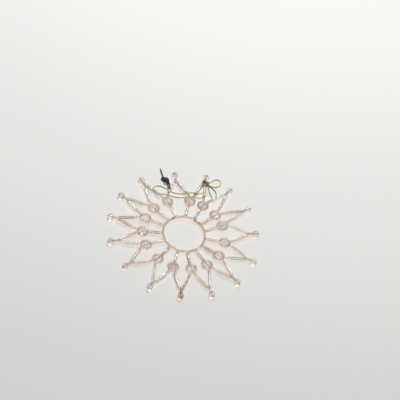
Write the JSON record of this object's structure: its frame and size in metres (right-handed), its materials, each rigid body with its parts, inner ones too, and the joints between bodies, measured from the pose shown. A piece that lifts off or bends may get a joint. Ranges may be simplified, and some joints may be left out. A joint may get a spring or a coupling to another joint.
{
  "type": "himmeli ornament",
  "caption": "Flat hanging star strung from clear glass bugle tubes and champagne seed beads, with bead rosettes, hinged V-shaped points, round end beads and an olive hanging loop.",
  "frame": {"origin": "middle of the hub ring, on the surface that the star lies on", "axes": "+Z is square to the star, up from the surface; +Y points at the point that the hanging thread is tied to; +X is to its right"},
  "size_m": [0.1186, 0.1192, 0.0044],
  "materials": {
    "bugle_glass": "clear polished glass",
    "seed_glass": "transparent champagne glass",
    "round_bead_glass": "transparent champagne glass, fire-polished",
    "stringing_thread": "fine pale thread",
    "olive_thread": "twisted thread",
    "black_thread": "twisted thread"
  },
  "bodies": {
    "star": {"hub_ring_beads": "seed_glass", "spoke_bugles": "bugle_glass", "rosette_petals": "seed_glass", "rosette_centre_beads": "round_bead_glass", "foot_beads": "seed_glass", "frame_thread": "stringing_thread", "hanging_loop": "olive_thread", "black_tie": "black_thread"},
    "point_01": {"point_01_arm_bugles": "bugle_glass", "point_01_tip_beads": "round_bead_glass", "point_01_thread": "stringing_thread", "hanging_knot": "olive_thread"},
    "point_02": {"point_02_arm_bugles": "bugle_glass", "point_02_tip_beads": "round_bead_glass", "point_02_thread": "stringing_thread"},
    "point_03": {"point_03_arm_bugles": "bugle_glass", "point_03_tip_beads": "round_bead_glass", "point_03_thread": "stringing_thread"},
    "point_04": {"point_04_arm_bugles": "bugle_glass", "point_04_tip_beads": "round_bead_glass", "point_04_thread": "stringing_thread"},
    "point_05": {"point_05_arm_bugles": "bugle_glass", "point_05_tip_beads": "round_bead_glass", "point_05_thread": "stringing_thread"},
    "point_06": {"point_06_arm_bugles": "bugle_glass", "point_06_tip_beads": "round_bead_glass", "point_06_thread": "stringing_thread"},
    "point_07": {"point_07_arm_bugles": "bugle_glass", "point_07_tip_beads": "round_bead_glass", "point_07_thread": "stringing_thread"},
    "point_08": {"point_08_arm_bugles": "bugle_glass", "point_08_tip_beads": "round_bead_glass", "point_08_thread": "stringing_thread"},
    "point_09": {"point_09_arm_bugles": "bugle_glass", "point_09_tip_beads": "round_bead_glass", "point_09_thread": "stringing_thread"},
    "point_10": {"point_10_arm_bugles": "bugle_glass", "point_10_tip_beads": "round_bead_glass", "point_10_thread": "stringing_thread"},
    "point_11": {"point_11_arm_bugles": "bugle_glass", "point_11_tip_beads": "round_bead_glass", "point_11_thread": "stringing_thread"},
    "point_12": {"point_12_arm_bugles": "bugle_glass", "point_12_tip_beads": "round_bead_glass", "point_12_thread": "stringing_thread"},
    "point_13": {"point_13_arm_bugles": "bugle_glass", "point_13_tip_beads": "round_bead_glass", "point_13_thread": "stringing_thread"},
    "point_14": {"point_14_arm_bugles": "bugle_glass", "point_14_tip_beads": "round_bead_glass", "point_14_thread": "stringing_thread"},
    "point_15": {"point_15_arm_bugles": "bugle_glass", "point_15_tip_beads": "round_bead_glass", "point_15_thread": "stringing_thread"}
  },
  "joints": [
    {"name": "point_01_fold", "type": "hinge", "parent": "star", "child": "point_01", "pos_m": [0.00181, 0.03857, 0.0022], "axis": [0.9999, -0.0142, 0], "range_deg": [0, 45], "deforming": ["hanging_loop"]},
    {"name": "point_02_fold", "type": "hinge", "parent": "star", "child": "point_02", "pos_m": [-0.01465, 0.03471, 0.0022], "axis": [0.9219, 0.3873, 0], "range_deg": [0, 45]},
    {"name": "point_03_fold", "type": "hinge", "parent": "star", "child": "point_03", "pos_m": [-0.02987, 0.02417, 0.0022], "axis": [0.6402, 0.7682, 0], "range_deg": [0, 45]},
    {"name": "point_04_fold", "type": "hinge", "parent": "star", "child": "point_04", "pos_m": [-0.03695, 0.01104, 0.0022], "axis": [0.296, 0.9552, 0], "range_deg": [0, 45]},
    {"name": "point_05_fold", "type": "hinge", "parent": "star", "child": "point_05", "pos_m": [-0.03832, -0.00366, 0.0022], "axis": [-0.0979, 0.9952, 0], "range_deg": [0, 45]},
    {"name": "point_06_fold", "type": "hinge", "parent": "star", "child": "point_06", "pos_m": [-0.03397, -0.01813, 0.0022], "axis": [-0.4809, 0.8768, 0], "range_deg": [0, 45]},
    {"name": "point_07_fold", "type": "hinge", "parent": "star", "child": "point_07", "pos_m": [-0.02305, -0.03047, 0.0022], "axis": [-0.7985, 0.602, 0], "range_deg": [0, 45]},
    {"name": "point_08_fold", "type": "hinge", "parent": "star", "child": "point_08", "pos_m": [-0.00763, -0.03767, 0.0022], "axis": [-0.9796, 0.2008, 0], "range_deg": [0, 45]},
    {"name": "point_09_fold", "type": "hinge", "parent": "star", "child": "point_09", "pos_m": [0.0087, -0.03737, 0.0022], "axis": [-0.9748, -0.2233, 0], "range_deg": [0, 45]},
    {"name": "point_10_fold", "type": "hinge", "parent": "star", "child": "point_10", "pos_m": [0.02347, -0.03042, 0.0022], "axis": [-0.796, -0.6053, 0], "range_deg": [0, 45]},
    {"name": "point_11_fold", "type": "hinge", "parent": "star", "child": "point_11", "pos_m": [0.03376, -0.01842, 0.0022], "axis": [-0.4848, -0.8746, 0], "range_deg": [0, 45]},
    {"name": "point_12_fold", "type": "hinge", "parent": "star", "child": "point_12", "pos_m": [0.03827, -0.00309, 0.0022], "axis": [-0.0856, -0.9963, 0], "range_deg": [0, 45]},
    {"name": "point_13_fold", "type": "hinge", "parent": "star", "child": "point_13", "pos_m": [0.03519, 0.01434, 0.0022], "axis": [0.3757, -0.9268, 0], "range_deg": [0, 45]},
    {"name": "point_14_fold", "type": "hinge", "parent": "star", "child": "point_14", "pos_m": [0.02677, 0.02776, 0.0022], "axis": [0.6881, -0.7256, 0], "range_deg": [0, 45]},
    {"name": "point_15_fold", "type": "hinge", "parent": "star", "child": "point_15", "pos_m": [0.01516, 0.03541, 0.0022], "axis": [0.9173, -0.3981, 0], "range_deg": [0, 45]}
  ]
}
